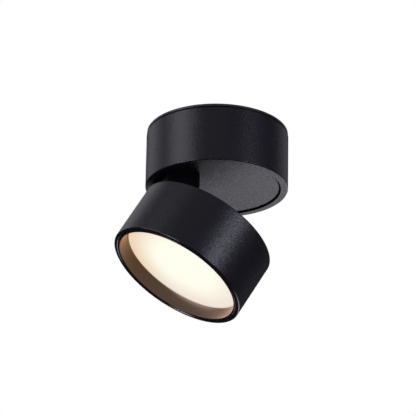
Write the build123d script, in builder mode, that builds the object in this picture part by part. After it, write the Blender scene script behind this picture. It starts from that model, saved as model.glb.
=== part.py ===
from build123d import *
import os
from math import asin, cos, radians, sin, sqrt

os.makedirs("parts", exist_ok=True)

# Surface mounted ceiling spotlight: a ceiling canopy, a turntable let into its lower face,
# and a lamp head hinged near the turntable's edge. Millimetres, +Z up.
# Origin: centre of the face that lies on the ceiling. The hinge side is -X.

# ---- Outside sizes ----------------------------------------------------------------------
body_diameter = 100.0        # canopy and lamp head share one diameter
canopy_height = 42.5         # ceiling face to the canopy's lower rim
head_height = 43.5           # back face of the head to its front rim
neck_gap = 9.4               # canopy rim to head back with the head folded shut
pivot_inset = 6.2            # canopy's outer face to the tilt pin
rest_tilt = 30.0             # tilt of the head as modelled, degrees from straight down
swivel_travel = 175.0        # turntable travel each way, degrees

# ---- Fits -------------------------------------------------------------------------------
running_clearance = 0.05     # radial, between a shaft and the bore it turns in
sliding_clearance = 0.05     # between flat faces that slide on each other
fixed_clearance = 0.02       # radial, between a pressed or screwed piece and its hole
passing_gap = 0.3            # between faces of different bodies that pass each other
assembly_gap = 0.15          # radial, between a loose insert and the wall round it

# ---- Mounting plate ---------------------------------------------------------------------
plate_thickness = 1.5
plate_setback = 0.3          # plate edge inside the canopy's outer face
ceiling_slot_spacing = 60.0
ceiling_slot_length = 16.0
ceiling_slot_width = 5.0
cable_hole_radius = 9.0
tab_width = 14.0
tab_length = 13.0            # tab below the plate
tab_corner = 3.0             # rounding of the tab's lower corners
tab_wall_gap = 0.4           # tab corner to the canopy's inner wall
side_screw_drop = 9.0        # ceiling face to the side screws
side_screw_radius = 1.5
side_screw_length = 5.6
side_screw_sink = 0.3        # screw end below the canopy's outer face
hex_socket_flats = 1.5
hex_socket_depth = 1.8

# ---- Cable grommet ----------------------------------------------------------------------
grommet_bore_radius = 4.0
grommet_lip_radius = 11.5
grommet_lip_height = 2.0

# ---- Canopy housing ---------------------------------------------------------------------
canopy_wall = 3.0
shadow_gap_height = 1.0      # dark line between the plate and the canopy wall
shadow_gap_depth = 1.7
canopy_rim_width = 5.3       # flat ring round the turntable
canopy_floor = 3.0
rim_fillet = 0.8             # outer edge of the canopy's rim and of the head's rims
edge_break = 0.3             # small edges

# ---- Turntable and swivel ---------------------------------------------------------------
disc_recess = 1.2            # turntable face above the canopy rim
disc_thickness = 5.0
disc_gap = 0.8               # round the turntable
bearing_ring_thickness = 0.8
bearing_ring_inset = 2.9     # turntable's edge to the ring
bearing_ring_width = 6.0
tube_radius = 5.0
tube_bore_radius = 3.2
tube_flange_radius = 13.0
tube_flange_thickness = 2.0
tube_stand = 7.5             # swivel tube above the canopy floor
bush_wall = 1.4
tube_screw_circle_radius = 9.2
tube_screw_count = 3
tube_screw_radius = 1.25
tube_screw_length = 3.6
friction_washer_radius = 10.5
friction_washer_thickness = 0.8
disc_spring_radius = 9.5
disc_spring_thickness = 0.6
disc_spring_height = 1.1
nut_flats = 16.0
nut_height = 4.0
stop_inset = 4.0             # bearing ring to the stop pin's path
stop_pin_radius = 1.5
stop_groove_depth = 2.2
stop_pin_floor_gap = 0.6     # pin end to the groove's floor
wireway_width = 4.4
wireway_height = 2.0
drop_hole_inset = 4.0        # hinge block's inner end to the drop hole
drop_hole_radius = 2.4

# ---- Hinge ------------------------------------------------------------------------------
block_length = 27.4
block_width = 38.0
block_corner = 1.2
block_edge = 0.8
block_disc_setback = 0.5     # block end inside the turntable's edge
tongue_width = 14.0
knuckle_radius = 3.8
pin_radius = 2.2
pin_bore_radius = 1.4
washer_thickness = 0.9
washer_radius = 3.5
lug_width = 4.5
lug_slot_gap = 0.4           # lug to the slot in the block
pocket_gap = 0.4             # knuckle to the pocket in the head
pin_boss_depth = 7.4         # thick part of the head's back under the hinge
pin_boss_margin = 2.2        # boss round the pocket
pin_boss_setback = 1.0       # boss inside the head's outer face
block_screw_radius = 1.5
block_screw_head = 2.8
block_screw_sink = 0.3       # screw head below the turntable's top
block_screw_grip = 6.0       # thread in the block
inner_screws_inset = 3.5     # block's inner end to its first pair of screws
inner_screws_spacing = 24.0
outer_screws_inset = 7.4     # block's outer end to its second pair of screws
outer_screws_spacing = 20.6
lead_channel_depth = 4.4
lead_channel_margin = 0.8    # beside the conductors
lead_channel_end_wall = 3.4  # channel to the block's outer end
drilling_rise = 0.8          # start of the drilling above the channel's floor
lead_radius = 0.6
lead_pitch = 1.6             # between the two conductors

# ---- Lamp head --------------------------------------------------------------------------
head_wall = 2.7
head_back = 3.0
sink_fin_height = 11.7
sink_base = 3.0
fin_count = 24
fin_thickness = 1.6
fin_inner_radius = 9.0
fin_post_gap = 3.4           # fin ends to the posts
sink_hub_radius = 11.0
sink_back_gap = 0.3          # fin tips to the head's back wall
post_inset = 4.7             # head's inner wall to a post's middle
post_radius = 3.2
post_count = 3
sink_screw_radius = 1.5
sink_screw_head = 2.8
sink_screw_head_height = 1.8
sink_screw_grip = 7.0
pad_thickness = 0.5
pad_setback = 1.0            # pad inside the board's edge
board_thickness = 1.6
board_inset = 9.3            # head's inner wall to the board's edge
board_screw_inset = 6.0      # board's edge to its screws
board_screw_angle = 30.0     # first board screw, round from the post away from the hinge
board_screw_radius = 1.2
board_screw_head = 2.2
board_screw_head_height = 1.2
board_screw_grip = 2.4
led_ring_inset = 14.0        # board's edge to the outer ring of LEDs
led_ring_pitch = 11.0        # between the two rings
led_outer_count = 16
led_inner_count = 8
led_length = 3.5
led_width = 2.8
led_height = 0.8
connector_length = 8.0
connector_width = 5.0
connector_height = 3.0
connector_inset = 5.0        # board's edge to the leads' way through it
baffle_depth = 10.1          # front rim to the diffuser
diffuser_thickness = 2.0
diffuser_margin = 1.4        # diffuser edge hidden behind the baffle
reflector_wall = 1.0
reflector_foot_inset = 2.0   # board's edge to the reflector's foot
trim_face_width = 1.5        # front edge of the trim ring
trim_lip_height = 1.4
trim_groove = 0.4            # dark line between the trim ring and the head's rim
trim_groove_depth = 1.0
snap_bead = 0.35
snap_bead_height = 1.6

# ---- Driver and wiring ------------------------------------------------------------------
driver_length = 55.0
driver_corner_gap = 0.4      # driver's outer corners to the canopy's inner wall
driver_height = 21.0
driver_near_side = 10.6      # canopy axis to the driver's inner side
driver_wall = 1.5
driver_split = 14.5          # tray height
driver_board_height = 4.0
driver_board_thickness = 1.6
driver_board_margin = 0.4
driver_post_inset = 2.2      # board's edge to a post's middle
transformer_length = 14.0
transformer_width = 15.0
transformer_height = 11.0
core_length = 17.0           # iron core round the transformer's winding
core_width = 8.0
core_height = 7.0
capacitor_radius = 4.0
capacitor_height = 11.5
capacitor_spacing = 33.0
ear_inset = 3.6              # driver's inner side to its fixing ears
ear_length = 7.0
ear_width = 9.0
ear_thickness = 2.0
driver_screw_radius = 1.5
driver_screw_head = 2.8
driver_screw_head_height = 1.6
driver_screw_grip = 2.6
terminal_length = 27.0
terminal_width = 16.0
terminal_height = 13.0
terminal_near_side = 17.0
terminal_poles = 3
terminal_pitch = 8.0
terminal_gap = 1.0           # slot between two poles
terminal_bore = 1.9
terminal_bore_height = 5.0
terminal_well = 2.2
terminal_well_depth = 5.0
terminal_well_offset = 4.3
terminal_screw_radius = 1.9
terminal_screw_height = 2.6
screw_slot_width = 0.6
screw_slot_depth = 0.8
cross_slot_share = 1.2       # length of a cross slot, in head radii
plain_slot_share = 1.6       # length of a plain slot, in screw radii
mains_lead_radius = 0.9
mains_lead_height = 9.0      # above the canopy floor
output_lead_height = 12.0    # above the canopy floor
mains_lead_exit = 4.0        # straight run out of the terminal block
mains_lead_rise = 7.0        # run over which a lead climbs to the driver
mains_lead_bend = 3.5        # radii of the leads' bends
output_lead_bend = 3.0
earth_lead_bend = 1.9
swivel_lead_bend = 1.4
head_lead_bend = 1.0
lead_end_gap = 0.5           # where fixed and turning leads meet on the swivel axis
earth_screw_side = 19.0      # swivel axis to the earth screw, towards the hinge side
earth_screw_back = 16.0      # and towards the terminal block
earth_lead_bow = 3.4         # the earth lead swings this far clear before it enters its pole
earth_lead_offset = 3.0      # and this far to one side of it
earth_tag_radius = 3.2
earth_tag_thickness = 0.6

# ---- Worked-out sizes -------------------------------------------------------------------
body_radius = body_diameter / 2
pivot_reach = body_radius - pivot_inset          # canopy axis to the tilt pin
canopy_inner = body_radius - canopy_wall
recess_radius = body_radius - canopy_rim_width
rim_z = -canopy_height
disc_bottom = rim_z + disc_recess
disc_top = disc_bottom + disc_thickness
disc_radius = recess_radius - disc_gap
bearing_ring_outer = disc_radius - bearing_ring_inset
bearing_ring_inner = bearing_ring_outer - bearing_ring_width
stop_radius = bearing_ring_inner - stop_inset    # the stop pin's path
floor_bottom = disc_top + bearing_ring_thickness + 2 * sliding_clearance
floor_top = floor_bottom + canopy_floor
tube_top = floor_top + tube_stand
bush_radius = tube_radius + running_clearance + bush_wall
plate_radius = body_radius - plate_setback
tab_outer_face = sqrt(canopy_inner ** 2 - (tab_width / 2) ** 2) - tab_wall_gap
driver_far_side = sqrt((canopy_inner - driver_corner_gap) ** 2 - (driver_length / 2) ** 2)
driver_width = driver_far_side - driver_near_side
ear_middle = driver_near_side + ear_inset + ear_width / 2

block_outer = disc_radius - block_disc_setback
block_inner = block_outer - block_length         # canopy axis to the block's inner end
wireway_reach = block_inner + drop_hole_inset    # turntable axis to the drop hole
block_bottom = rim_z - neck_gap + passing_gap
block_height = disc_bottom - block_bottom
pin_z = rim_z - neck_gap
tongue_half = tongue_width / 2
lug_inner = tongue_half + washer_thickness + 2 * sliding_clearance
lug_outer = lug_inner + lug_width
lug_slot_end = pivot_reach - knuckle_radius - lug_slot_gap
pocket_radius = knuckle_radius + pocket_gap
channel_width = lead_pitch + 2 * (lead_radius + lead_channel_margin)

tilt = radians(rest_tilt)
beam = Vector(-sin(tilt), 0, -cos(tilt))          # the way the lamp shines
away = Vector(cos(tilt), 0, -sin(tilt))           # across the head, away from the hinge
pin_point = Vector(-pivot_reach, 0, pin_z)
head_centre = pin_point + away * pivot_reach      # centre of the head's back face
pin_plane = Plane(origin=pin_point, x_dir=(1, 0, 0), z_dir=(0, -1, 0))
head_plane = Plane(origin=head_centre, x_dir=away, z_dir=beam)
head_section = Plane(origin=head_centre, x_dir=away, z_dir=(0, 1, 0))   # radius, depth
head_pin_plane = Plane(origin=pin_point, x_dir=away, z_dir=(0, 1, 0))   # depth is local y
head_axis = Axis(head_centre, beam)

head_inner = body_radius - head_wall
sink_top = head_back + sink_back_gap + sink_fin_height
sink_front = sink_top + sink_base
pad_front = sink_front + pad_thickness
board_front = pad_front + board_thickness
diffuser_front = head_height - baffle_depth
trim_outer = head_inner - assembly_gap
trim_face_radius = head_inner - trim_groove
baffle_inner_radius = trim_face_radius - trim_face_width
diffuser_back = diffuser_front - diffuser_thickness
diffuser_radius = baffle_inner_radius + diffuser_margin
post_circle_radius = head_inner - post_inset
fin_outer_radius = post_circle_radius - post_radius - fin_post_gap
board_radius = head_inner - board_inset
pad_radius = board_radius - pad_setback
board_screw_circle_radius = board_radius - board_screw_inset
connector_reach = board_radius - connector_inset
led_outer_ring_radius = board_radius - led_ring_inset
led_inner_ring_radius = led_outer_ring_radius - led_ring_pitch
reflector_foot_radius = board_radius - reflector_foot_inset


# ==== Canopy: fixed to the ceiling =======================================================

with BuildPart() as mounting_plate:
    with BuildSketch(Plane.XY.offset(-plate_thickness)):
        Circle(plate_radius)
        Circle(cable_hole_radius, mode=Mode.SUBTRACT)
        with GridLocations(0, ceiling_slot_spacing, 1, 2):
            SlotOverall(ceiling_slot_length, ceiling_slot_width, rotation=90, mode=Mode.SUBTRACT)
        # the window that each side tab was folded out of
        window_middle = tab_outer_face - plate_thickness - tab_length / 2
        with GridLocations(2 * window_middle, 0, 2, 1):
            Rectangle(tab_length, tab_width, mode=Mode.SUBTRACT)
    extrude(amount=plate_thickness)
    with BuildSketch(Plane.YZ.offset(tab_outer_face - plate_thickness)):
        with Locations((0, -plate_thickness)):
            Rectangle(tab_width, tab_length, align=(Align.CENTER, Align.MAX))
    extrude(amount=plate_thickness)
    with BuildSketch(Plane.YZ.offset(-tab_outer_face)):
        with Locations((0, -plate_thickness)):
            Rectangle(tab_width, tab_length, align=(Align.CENTER, Align.MAX))
    extrude(amount=plate_thickness)
    tab_corners = mounting_plate.edges().filter_by(Axis.X).group_by(Axis.Z)[0]
    fillet(tab_corners, tab_corner)
    with BuildSketch(Plane.YZ):
        with Locations((0, -side_screw_drop)):
            Circle(side_screw_radius + fixed_clearance)
    extrude(amount=body_radius, both=True, mode=Mode.SUBTRACT)
mounting_plate.part.label = "mounting_plate"
export_step(mounting_plate.part, "parts/mounting_plate.step")

with BuildPart() as cable_grommet:
    with BuildSketch(Plane.XY.offset(-plate_thickness)):
        Circle(cable_hole_radius - fixed_clearance)
    extrude(amount=plate_thickness)
    with BuildSketch(Plane.XY.offset(-plate_thickness)):
        Circle(grommet_lip_radius)
    extrude(amount=-grommet_lip_height)
    chamfer(cable_grommet.edges().group_by(Axis.Z)[0], grommet_lip_height / 3)
    Hole(grommet_bore_radius)
cable_grommet.part.label = "cable_grommet"
export_step(cable_grommet.part, "parts/cable_grommet.step")

with BuildPart() as canopy_housing:
    with BuildSketch(Plane.XZ):
        with BuildLine():
            Polyline(
                (canopy_inner, -plate_thickness),
                (body_radius - shadow_gap_depth, -plate_thickness),
                (body_radius - shadow_gap_depth, -plate_thickness - shadow_gap_height),
                (body_radius, -plate_thickness - shadow_gap_height),
                (body_radius, rim_z),
                (recess_radius, rim_z),
                (recess_radius, floor_bottom),
                (bush_radius + fixed_clearance, floor_bottom),
                (bush_radius + fixed_clearance, floor_top),
                (canopy_inner, floor_top),
                close=True,
            )
        make_face()
    revolve(axis=Axis.Z)
    rim_edges = canopy_housing.edges().filter_by(GeomType.CIRCLE).group_by(Axis.Z)[0]
    fillet(rim_edges.sort_by(SortBy.RADIUS)[-1], rim_fillet)
    chamfer(rim_edges.sort_by(SortBy.RADIUS)[0], edge_break)
    wall_top = canopy_housing.edges().filter_by(GeomType.CIRCLE).group_by(Axis.Z)[-2]
    chamfer(wall_top.sort_by(SortBy.RADIUS)[-1], edge_break)
    # side screw holes
    with BuildSketch(Plane.YZ):
        with Locations((0, -side_screw_drop)):
            Circle(side_screw_radius + 2 * running_clearance)
    extrude(amount=body_radius, both=True, mode=Mode.SUBTRACT)
    # holes in the floor: the stop pin's, on the side away from the hinge, then the driver's
    # two and the earth screw's
    with BuildSketch(Plane.XY.offset(floor_bottom)):
        with Locations((stop_radius, 0)):
            Circle(stop_pin_radius + fixed_clearance)
        with Locations((0, ear_middle)):
            with GridLocations(driver_length + ear_length, 0, 2, 1):
                Circle(driver_screw_radius + fixed_clearance)
        with Locations((-earth_screw_side, -earth_screw_back)):
            Circle(driver_screw_radius + fixed_clearance)
    extrude(amount=canopy_floor, mode=Mode.SUBTRACT)
canopy_housing.part.label = "canopy_housing"
export_step(canopy_housing.part, "parts/canopy_housing.step")

with BuildPart() as side_screws:
    screw_end = body_radius - side_screw_sink
    for side in (1, -1):
        screw_plane = Plane(
            origin=(side * screw_end, 0, -side_screw_drop), x_dir=(0, 1, 0), z_dir=(side, 0, 0)
        )
        with BuildSketch(screw_plane):
            Circle(side_screw_radius)
        extrude(amount=-side_screw_length)
        with BuildSketch(screw_plane):
            RegularPolygon(hex_socket_flats / 2, 6, major_radius=False)
        extrude(amount=-hex_socket_depth, mode=Mode.SUBTRACT)
side_screws.part.label = "side_screws"
export_step(side_screws.part, "parts/side_screws.step")

with BuildPart() as stop_pin:
    pin_end = disc_top - stop_groove_depth + stop_pin_floor_gap
    with BuildSketch(Plane.XY.offset(pin_end)):
        with Locations((stop_radius, 0)):
            Circle(stop_pin_radius)
    extrude(amount=floor_top - pin_end)
    chamfer(stop_pin.edges().group_by(Axis.Z)[0], edge_break)
stop_pin.part.label = "stop_pin"
export_step(stop_pin.part, "parts/stop_pin.step")

with BuildPart() as bearing_ring:
    with BuildSketch(Plane.XY.offset(floor_bottom)):
        Circle(bearing_ring_outer)
        Circle(bearing_ring_inner, mode=Mode.SUBTRACT)
    extrude(amount=-bearing_ring_thickness)
bearing_ring.part.label = "bearing_ring"
export_step(bearing_ring.part, "parts/bearing_ring.step")

with BuildPart() as swivel_bush:
    with BuildSketch(Plane.XY.offset(floor_bottom)):
        Circle(bush_radius)
        Circle(tube_radius + running_clearance, mode=Mode.SUBTRACT)
    extrude(amount=canopy_floor)
swivel_bush.part.label = "swivel_bush"
export_step(swivel_bush.part, "parts/swivel_bush.step")

# ---- Driver: a tray and a cover round a board -------------------------------------------
driver_plane = Plane(origin=(0, driver_near_side + driver_width / 2, floor_top))
ear_plane = Plane(origin=(0, ear_middle, floor_top))
cover_height = driver_height - driver_split
inner_length = driver_length - 2 * driver_wall
inner_width = driver_width - 2 * driver_wall
tray_post_inset = driver_wall + driver_board_margin + driver_post_inset
board_level = driver_wall + driver_board_height

with BuildPart() as driver_tray:
    with BuildSketch(driver_plane):
        RectangleRounded(driver_length, driver_width, driver_wall)
    extrude(amount=driver_split)
    with BuildSketch(driver_plane.offset(driver_wall)):
        Rectangle(inner_length, inner_width)
    extrude(amount=driver_split - driver_wall, mode=Mode.SUBTRACT)
    # board posts
    with BuildSketch(driver_plane.offset(driver_wall)):
        with GridLocations(driver_length - 2 * tray_post_inset,
                           driver_width - 2 * tray_post_inset, 2, 2):
            Circle(driver_wall)
    extrude(amount=driver_board_height)
    # fixing ears
    with BuildSketch(ear_plane):
        with GridLocations(driver_length + ear_length, 0, 2, 1):
            Rectangle(ear_length, ear_width)
            Circle(driver_screw_radius + 2 * running_clearance, mode=Mode.SUBTRACT)
    extrude(amount=ear_thickness)
    # lead entries in the side towards the swivel
    entry_plane = Plane(
        origin=(0, driver_near_side, floor_top), x_dir=(1, 0, 0), z_dir=(0, -1, 0)
    )
    with BuildSketch(entry_plane):
        with GridLocations(driver_length / 2, 0, 2, 1):
            with Locations((0, mains_lead_height)):
                Circle(mains_lead_radius + assembly_gap)
        with Locations((0, output_lead_height)):
            SlotCenterToCenter(lead_pitch, 2 * (lead_radius + assembly_gap))
    extrude(amount=-driver_wall, mode=Mode.SUBTRACT)
driver_tray.part.label = "driver_tray"
export_step(driver_tray.part, "parts/driver_tray.step")

with BuildPart() as driver_cover:
    with BuildSketch(driver_plane.offset(driver_split)):
        RectangleRounded(driver_length, driver_width, driver_wall)
    extrude(amount=cover_height)
    fillet(driver_cover.edges().group_by(Axis.Z)[-1], driver_wall / 2)
    with BuildSketch(driver_plane.offset(driver_split)):
        Rectangle(inner_length, inner_width)
    extrude(amount=cover_height - driver_wall, mode=Mode.SUBTRACT)
driver_cover.part.label = "driver_cover"
export_step(driver_cover.part, "parts/driver_cover.step")

with BuildPart() as driver_board:
    with BuildSketch(driver_plane.offset(board_level)):
        Rectangle(inner_length - 2 * driver_board_margin, inner_width - 2 * driver_board_margin)
    extrude(amount=driver_board_thickness)
driver_board.part.label = "driver_board"
export_step(driver_board.part, "parts/driver_board.step")

parts_level = board_level + driver_board_thickness
core_level = parts_level + (transformer_height - core_height) / 2

with BuildPart() as driver_transformer:
    with BuildSketch(driver_plane.offset(parts_level)):
        Rectangle(transformer_length, transformer_width)
    extrude(amount=transformer_height)
    with BuildSketch(driver_plane.offset(core_level)):
        Rectangle(core_length, core_width)
    extrude(amount=core_height)
driver_transformer.part.label = "driver_transformer"
export_step(driver_transformer.part, "parts/driver_transformer.step")

with BuildPart() as driver_capacitors:
    with BuildSketch(driver_plane.offset(parts_level)):
        with GridLocations(capacitor_spacing, 0, 2, 1):
            Circle(capacitor_radius)
    extrude(amount=capacitor_height)
    chamfer(driver_capacitors.edges().group_by(Axis.Z)[-1], capacitor_radius / 8)
driver_capacitors.part.label = "driver_capacitors"
export_step(driver_capacitors.part, "parts/driver_capacitors.step")

with BuildPart() as driver_screws:
    with BuildSketch(ear_plane.offset(ear_thickness)):
        with GridLocations(driver_length + ear_length, 0, 2, 1):
            Circle(driver_screw_head)
    extrude(amount=driver_screw_head_height)
    chamfer(driver_screws.edges().group_by(Axis.Z)[-1], driver_screw_head_height / 3)
    with BuildSketch(ear_plane.offset(ear_thickness)):
        with GridLocations(driver_length + ear_length, 0, 2, 1):
            Circle(driver_screw_radius)
    extrude(amount=-(ear_thickness + driver_screw_grip))
    with BuildSketch(ear_plane.offset(ear_thickness + driver_screw_head_height)):
        with GridLocations(driver_length + ear_length, 0, 2, 1):
            Rectangle(cross_slot_share * driver_screw_head, screw_slot_width)
            Rectangle(screw_slot_width, cross_slot_share * driver_screw_head)
    extrude(amount=-screw_slot_depth, mode=Mode.SUBTRACT)
driver_screws.part.label = "driver_screws"
export_step(driver_screws.part, "parts/driver_screws.step")

# ---- Terminal block ---------------------------------------------------------------------
terminal_plane = Plane(origin=(0, -terminal_near_side - terminal_width / 2, floor_top))

with BuildPart() as terminal_block:
    with BuildSketch(terminal_plane):
        Rectangle(terminal_length, terminal_width)
    extrude(amount=terminal_height)
    chamfer(terminal_block.edges().group_by(Axis.Z)[-1].filter_by(Axis.X), 2 * edge_break)
    with BuildSketch(terminal_plane.offset(terminal_height)):
        with GridLocations(terminal_pitch, 2 * terminal_well_offset, terminal_poles, 2):
            Circle(terminal_well)
        # gaps between the poles
        with GridLocations(terminal_pitch, 0, terminal_poles - 1, 1):
            Rectangle(terminal_gap, terminal_width)
    extrude(amount=-terminal_well_depth, mode=Mode.SUBTRACT)
    with BuildSketch(Plane(origin=terminal_plane.origin, x_dir=(1, 0, 0), z_dir=(0, -1, 0))):
        with Locations((0, terminal_bore_height)):
            with GridLocations(terminal_pitch, 0, terminal_poles, 1):
                Circle(terminal_bore)
    extrude(amount=terminal_width / 2, both=True, mode=Mode.SUBTRACT)
terminal_block.part.label = "terminal_block"
export_step(terminal_block.part, "parts/terminal_block.step")

with BuildPart() as terminal_screws:
    well_floor = terminal_height - terminal_well_depth
    with BuildSketch(terminal_plane.offset(well_floor)):
        with GridLocations(terminal_pitch, 2 * terminal_well_offset, terminal_poles, 2):
            Circle(terminal_screw_radius)
    extrude(amount=terminal_screw_height)
    with BuildSketch(terminal_plane.offset(well_floor + terminal_screw_height)):
        with GridLocations(terminal_pitch, 2 * terminal_well_offset, terminal_poles, 2):
            Rectangle(2 * terminal_screw_radius, screw_slot_width)
    extrude(amount=-screw_slot_depth, mode=Mode.SUBTRACT)
terminal_screws.part.label = "terminal_screws"
export_step(terminal_screws.part, "parts/terminal_screws.step")

# ---- Fixed leads inside the canopy ------------------------------------------------------
lead_entry = terminal_width / 3        # how far a lead runs into its terminal
mains_z = floor_top + terminal_bore_height
driver_z = floor_top + mains_lead_height
output_z = floor_top + output_lead_height


def lead(points, bend, radius):
    """One insulated conductor: a round section swept along straight runs and arcs."""
    with BuildPart() as conductor:
        with BuildLine() as route:
            FilletPolyline(*points, radius=bend)
        with BuildSketch(Plane(origin=points[0], z_dir=route.line % 0)):
            Circle(radius)
        sweep(path=route.line)
    return conductor.part


with BuildPart() as mains_leads:
    climb_start = mains_lead_exit - terminal_near_side
    climb_end = climb_start + mains_lead_rise
    for side in (1, -1):
        block_x = side * terminal_pitch
        driver_x = side * driver_length / 4
        route_points = [
            (block_x, -terminal_near_side - lead_entry, mains_z),
            (block_x, climb_start, mains_z),
            (driver_x, climb_end, driver_z),
            (driver_x, driver_near_side + driver_wall, driver_z),
        ]
        add(lead(route_points, mains_lead_bend, mains_lead_radius))
mains_leads.part.label = "mains_leads"
export_step(mains_leads.part, "parts/mains_leads.step")

with BuildPart() as output_leads:
    for side in (1, -1):
        lead_x = side * lead_pitch / 2
        route_points = [
            (lead_x, driver_near_side + driver_wall, output_z),
            (lead_x, 0, output_z),
            (lead_x, 0, tube_top + lead_end_gap),
        ]
        add(lead(route_points, output_lead_bend, lead_radius))
output_leads.part.label = "output_leads"
export_step(output_leads.part, "parts/output_leads.step")

with BuildPart() as earth_lead:
    earth_x = -earth_screw_side
    earth_y = -earth_screw_back
    tag_top = floor_top + earth_tag_thickness
    crimp_end = earth_x + 2 * earth_tag_radius
    # the tag: a ring for the screw and the strip that is crimped on the lead
    with BuildSketch(Plane.XY.offset(floor_top)):
        with Locations((earth_x, earth_y)):
            Circle(earth_tag_radius)
            with Locations((earth_tag_radius, 0)):
                Rectangle(2 * earth_tag_radius, 2 * mains_lead_radius)
            Circle(driver_screw_radius + 2 * running_clearance, mode=Mode.SUBTRACT)
    extrude(amount=earth_tag_thickness)
    route_points = [
        (crimp_end - earth_tag_radius / 2, earth_y, tag_top + mains_lead_radius / 2),
        (crimp_end + earth_tag_radius / 2, earth_y, tag_top + mains_lead_radius / 2),
        (-earth_lead_offset, earth_y + earth_lead_bow, mains_z),
        (0, -terminal_near_side, mains_z),
        (0, -terminal_near_side - lead_entry, mains_z),
    ]
    add(lead(route_points, earth_lead_bend, mains_lead_radius))
earth_lead.part.label = "earth_lead"
export_step(earth_lead.part, "parts/earth_lead.step")

with BuildPart() as earth_screw:
    with BuildSketch(Plane.XY.offset(tag_top)):
        with Locations((earth_x, earth_y)):
            Circle(driver_screw_head)
    extrude(amount=driver_screw_head_height)
    chamfer(earth_screw.edges().group_by(Axis.Z)[-1], driver_screw_head_height / 3)
    with BuildSketch(Plane.XY.offset(tag_top)):
        with Locations((earth_x, earth_y)):
            Circle(driver_screw_radius)
    extrude(amount=-(earth_tag_thickness + driver_screw_grip))
    with BuildSketch(Plane.XY.offset(tag_top + driver_screw_head_height)):
        with Locations((earth_x, earth_y)):
            Rectangle(cross_slot_share * driver_screw_head, screw_slot_width)
            Rectangle(screw_slot_width, cross_slot_share * driver_screw_head)
    extrude(amount=-screw_slot_depth, mode=Mode.SUBTRACT)
earth_screw.part.label = "earth_screw"
export_step(earth_screw.part, "parts/earth_screw.step")


# ==== Turntable: swivels in the canopy ===================================================

inner_screws_x = -(block_inner + inner_screws_inset)
outer_screws_x = -(block_outer - outer_screws_inset)
block_screw_places = [
    (inner_screws_x, inner_screws_spacing / 2),
    (inner_screws_x, -inner_screws_spacing / 2),
    (outer_screws_x, outer_screws_spacing / 2),
    (outer_screws_x, -outer_screws_spacing / 2),
]
head_cone = block_screw_head - block_screw_radius     # height of a countersunk head
flange_floor = disc_top - tube_flange_thickness
# the rib left in the stop groove ends the travel against the pin
stop_half_angle = asin((stop_pin_radius + sliding_clearance) / stop_radius)
rib_width = 2 * stop_radius * sin(radians(180 - swivel_travel) - stop_half_angle)

with BuildPart() as turntable_disc:
    with BuildSketch(Plane.XY.offset(disc_bottom)):
        Circle(disc_radius)
    extrude(amount=disc_thickness)
    chamfer(turntable_disc.edges().group_by(Axis.Z)[0], edge_break)
    with BuildSketch(Plane.XY.offset(disc_top)):
        Circle(tube_flange_radius + assembly_gap)
    extrude(amount=-tube_flange_thickness, mode=Mode.SUBTRACT)
    with BuildSketch(Plane.XY.offset(disc_top)):
        with Locations((-wireway_reach / 2, 0)):
            SlotCenterToCenter(wireway_reach, wireway_width)
    extrude(amount=-(tube_flange_thickness + wireway_height), mode=Mode.SUBTRACT)
    with BuildSketch(Plane.XY.offset(disc_bottom)):
        with Locations((-wireway_reach, 0)):
            Circle(drop_hole_radius)
    extrude(amount=disc_thickness, mode=Mode.SUBTRACT)
    # blind holes for the tube screws
    with BuildSketch(Plane.XY.offset(flange_floor)):
        with PolarLocations(tube_screw_circle_radius, tube_screw_count):
            Circle(tube_screw_radius + fixed_clearance)
    extrude(amount=tube_flange_thickness - tube_screw_length, mode=Mode.SUBTRACT)
    # groove that the stop pin runs in, with the rib that stops it
    with BuildSketch(Plane.XY.offset(disc_top)):
        Circle(stop_radius + stop_pin_radius + passing_gap)
        Circle(stop_radius - stop_pin_radius - passing_gap, mode=Mode.SUBTRACT)
        with Locations((-stop_radius, 0)):
            Rectangle(4 * stop_pin_radius, rib_width, mode=Mode.SUBTRACT)
    extrude(amount=-stop_groove_depth, mode=Mode.SUBTRACT)
    # countersunk holes for the hinge block's screws
    with Locations([(x, y, disc_top - block_screw_sink) for x, y in block_screw_places]):
        Cylinder(block_screw_head + fixed_clearance, block_screw_sink,
                 align=(Align.CENTER, Align.CENTER, Align.MIN), mode=Mode.SUBTRACT)
        Cone(block_screw_radius + fixed_clearance, block_screw_head + fixed_clearance, head_cone,
             align=(Align.CENTER, Align.CENTER, Align.MAX), mode=Mode.SUBTRACT)
        Cylinder(block_screw_radius + fixed_clearance, disc_thickness,
                 align=(Align.CENTER, Align.CENTER, Align.MAX), mode=Mode.SUBTRACT)
turntable_disc.part.label = "turntable_disc"
export_step(turntable_disc.part, "parts/turntable_disc.step")

with BuildPart() as swivel_tube:
    with BuildSketch(Plane.XY.offset(flange_floor)):
        Circle(tube_flange_radius)
    extrude(amount=tube_flange_thickness)
    with BuildSketch(Plane.XY.offset(disc_top)):
        Circle(tube_radius)
    extrude(amount=tube_top - disc_top)
    chamfer(swivel_tube.edges().group_by(Axis.Z)[-1], 2 * edge_break)
    with BuildSketch(Plane.XY.offset(flange_floor)):
        Circle(tube_bore_radius)
        with PolarLocations(tube_screw_circle_radius, tube_screw_count):
            Circle(tube_screw_radius + fixed_clearance)
    extrude(amount=tube_top - flange_floor, mode=Mode.SUBTRACT)
swivel_tube.part.label = "swivel_tube"
export_step(swivel_tube.part, "parts/swivel_tube.step")

with BuildPart() as tube_screws:
    with BuildSketch(Plane.XY.offset(disc_top)):
        with PolarLocations(tube_screw_circle_radius, tube_screw_count):
            Circle(tube_screw_radius)
    extrude(amount=-tube_screw_length)
    with BuildSketch(Plane.XY.offset(disc_top)):
        with PolarLocations(tube_screw_circle_radius, tube_screw_count):
            Rectangle(plain_slot_share * tube_screw_radius, screw_slot_width)
    extrude(amount=-screw_slot_depth, mode=Mode.SUBTRACT)
tube_screws.part.label = "tube_screws"
export_step(tube_screws.part, "parts/tube_screws.step")

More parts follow.
